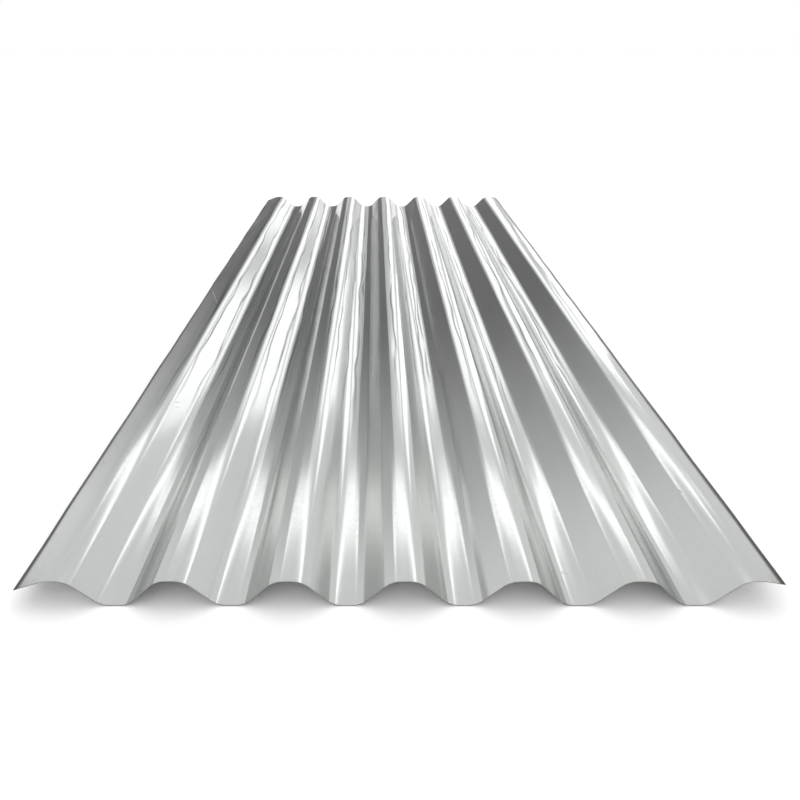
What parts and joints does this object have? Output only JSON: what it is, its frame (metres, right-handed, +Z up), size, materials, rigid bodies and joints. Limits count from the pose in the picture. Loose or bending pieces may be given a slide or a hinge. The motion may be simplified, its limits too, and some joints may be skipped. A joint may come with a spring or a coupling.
{
  "type": "corrugated steel floor decking sheet",
  "caption": "Flat-lying galvanised steel decking sheet with round-shouldered ribs along its length and a lap lip on each side.",
  "frame": {"origin": "under the middle of the sheet, on the plane that the valleys rest on", "axes": "+X across the ribs towards the short lip, +Y along the ribs, +Z up, out of the top face"},
  "size_m": [0.8186, 2, 0.035],
  "materials": {
    "galvanised_steel": "bright hot-dip galvanised, minimised spangle"
  },
  "bodies": {
    "root": {"decking_sheet": "galvanised_steel"}
  },
  "joints": []
}
